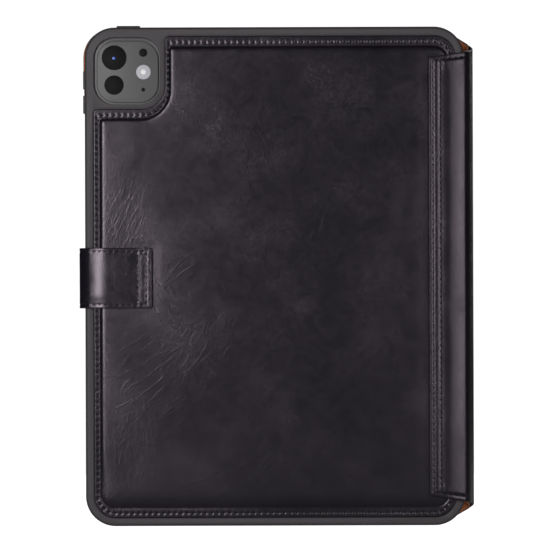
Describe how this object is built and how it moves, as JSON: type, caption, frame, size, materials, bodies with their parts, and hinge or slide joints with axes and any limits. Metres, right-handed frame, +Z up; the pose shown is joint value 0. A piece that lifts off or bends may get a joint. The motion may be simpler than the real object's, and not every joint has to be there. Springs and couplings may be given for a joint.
{
  "type": "tablet case",
  "caption": "Leather folio case with a moulded tray, a camera opening, a hinged spine and front cover, captive side buttons and a folding magnetic strap.",
  "frame": {"origin": "middle of the bottom of the closed case's bounding box, as it stands upright on its short edge", "axes": "+Z up the long side, from the charging port to the power button; -Y out of the tray's leather back; +Y out of the front cover; +X towards the spine, -X towards the strap"},
  "size_m": [0.2278, 0.019, 0.2894],
  "materials": {
    "shell_plastic": "matte moulded black",
    "button_plastic": "satin moulded black",
    "black_leather": "smooth waxed black leather, faint violet cast, creased",
    "tan_lining": "tan microfibre",
    "black_lining": "black microfibre",
    "foam": "closed-cell foam sheet",
    "board": "pressed fibreboard",
    "steel": "zinc-plated strip",
    "magnet": "nickel-plated magnet",
    "thread": "black waxed thread"
  },
  "bodies": {
    "tray": {"tray_shell": "shell_plastic", "tray_lining": "black_lining", "back_leather": "black_leather", "back_pad": "foam", "strap_catch_plate": "steel", "flap_catch_plate": "steel", "back_thread": "thread", "flap_leather": "black_leather", "flap_lining": "tan_lining", "flap_magnet_1": "magnet", "flap_magnet_2": "magnet", "flap_magnet_3": "magnet", "flap_magnet_4": "magnet", "flap_edge_thread": "thread", "flap_row_thread": "thread"},
    "power_button": {"power_button": "button_plastic"},
    "volume_up_button": {"volume_up_button": "button_plastic"},
    "volume_down_button": {"volume_down_button": "button_plastic"},
    "spine": {"spine_leather": "black_leather", "spine_stiffener": "board", "spine_lining": "tan_lining"},
    "cover": {"cover_leather": "black_leather", "cover_pad": "foam", "cover_board": "board", "cover_lining": "tan_lining", "cover_thread": "thread", "cover_magnet_1": "magnet", "cover_magnet_2": "magnet", "cover_magnet_3": "magnet"},
    "strap_side": {"strap_side_leather": "black_leather", "strap_side_lining": "tan_lining"},
    "strap_tab": {"strap_tab_leather": "black_leather", "strap_tab_lining": "tan_lining", "strap_magnet": "magnet", "strap_edge_thread": "thread", "strap_row_thread": "thread"}
  },
  "joints": [
    {"name": "power_button_press", "type": "slide", "parent": "tray", "child": "power_button", "axis": [0, 0, -1], "range_m": [0, 0.0003], "stiffness_N_per_m": 800},
    {"name": "volume_up_press", "type": "slide", "parent": "tray", "child": "volume_up_button", "axis": [1, 0, 0], "range_m": [0, 0.0003], "stiffness_N_per_m": 800},
    {"name": "volume_down_press", "type": "slide", "parent": "tray", "child": "volume_down_button", "axis": [1, 0, 0], "range_m": [0, 0.0003], "stiffness_N_per_m": 800},
    {"name": "spine_hinge", "type": "hinge", "parent": "tray", "child": "spine", "pos_m": [0.10941, -0.00781, 0], "axis": [0, 0, -1], "range_deg": [0, 180]},
    {"name": "cover_hinge", "type": "hinge", "parent": "spine", "child": "cover", "pos_m": [0.11261, 0.00681, 0], "axis": [0, 0, -1], "range_deg": [0, 180]},
    {"name": "strap_root_hinge", "type": "hinge", "parent": "cover", "child": "strap_side", "pos_m": [-0.11274, 0.00681, 0], "axis": [0, 0, -1], "range_deg": [0, 90]},
    {"name": "strap_tab_hinge", "type": "hinge", "parent": "strap_side", "child": "strap_tab", "pos_m": [-0.11274, -0.00781, 0], "axis": [0, 0, -1], "range_deg": [0, 90]}
  ]
}
